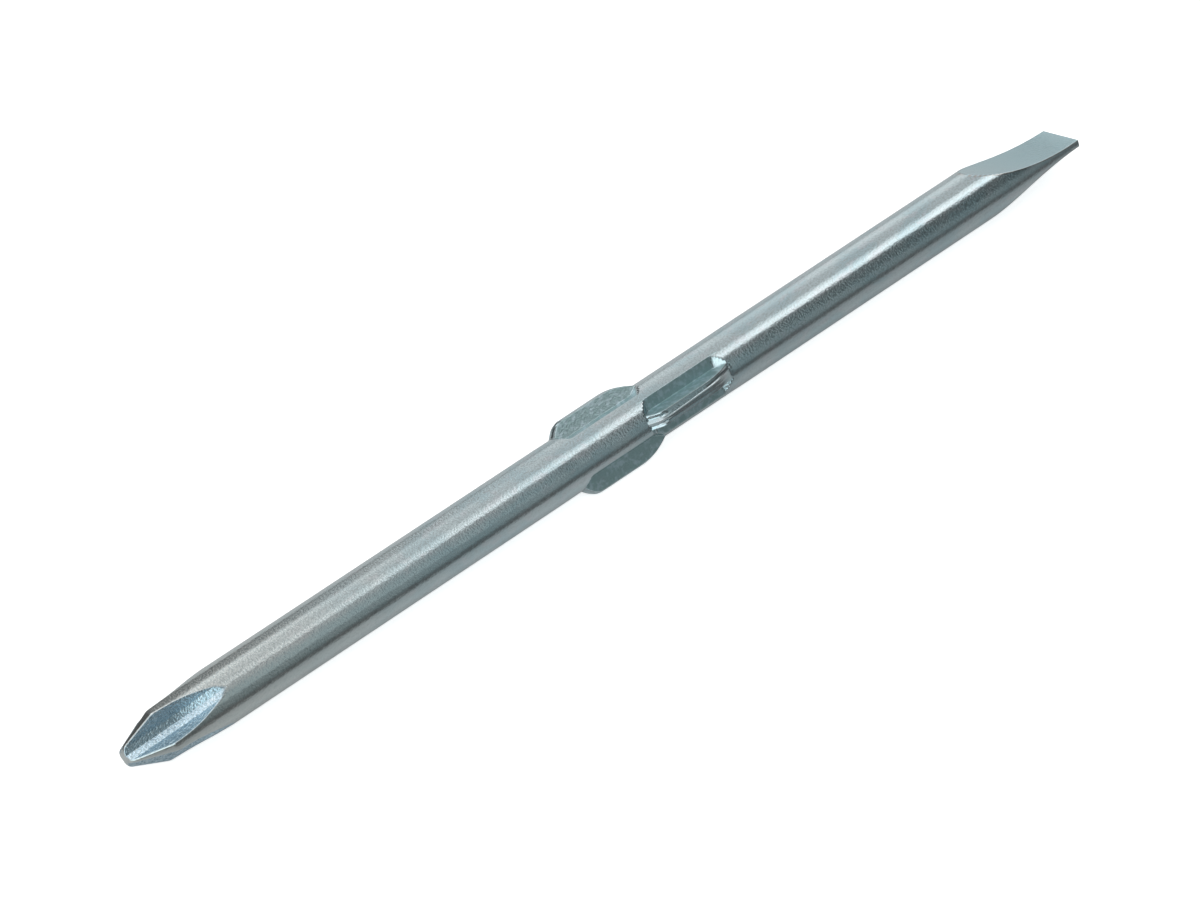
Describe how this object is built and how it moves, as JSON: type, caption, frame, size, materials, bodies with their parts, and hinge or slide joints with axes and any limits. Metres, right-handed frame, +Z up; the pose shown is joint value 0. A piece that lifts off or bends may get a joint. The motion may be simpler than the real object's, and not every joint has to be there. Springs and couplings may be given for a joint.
{
  "type": "double-ended screwdriver blade",
  "caption": "Straight reversible screwdriver blade of round steel, with a cross point, a slotted point and pressed drive wings near the middle for its handle.",
  "frame": {"origin": "on the axis of the round bar, half way between the nose of the cross point and the tip of the slotted point", "axes": "+X along the bar toward the slotted point, +Z straight up as the blade lies on its round bar with no wing touching, as in the picture"},
  "size_m": [0.1222, 0.0072, 0.006],
  "materials": {
    "plated_steel": "bright zinc plate over smooth drawn steel, faint blue tint, lightly scratched"
  },
  "bodies": {
    "root": {"blade": "plated_steel"}
  },
  "joints": []
}
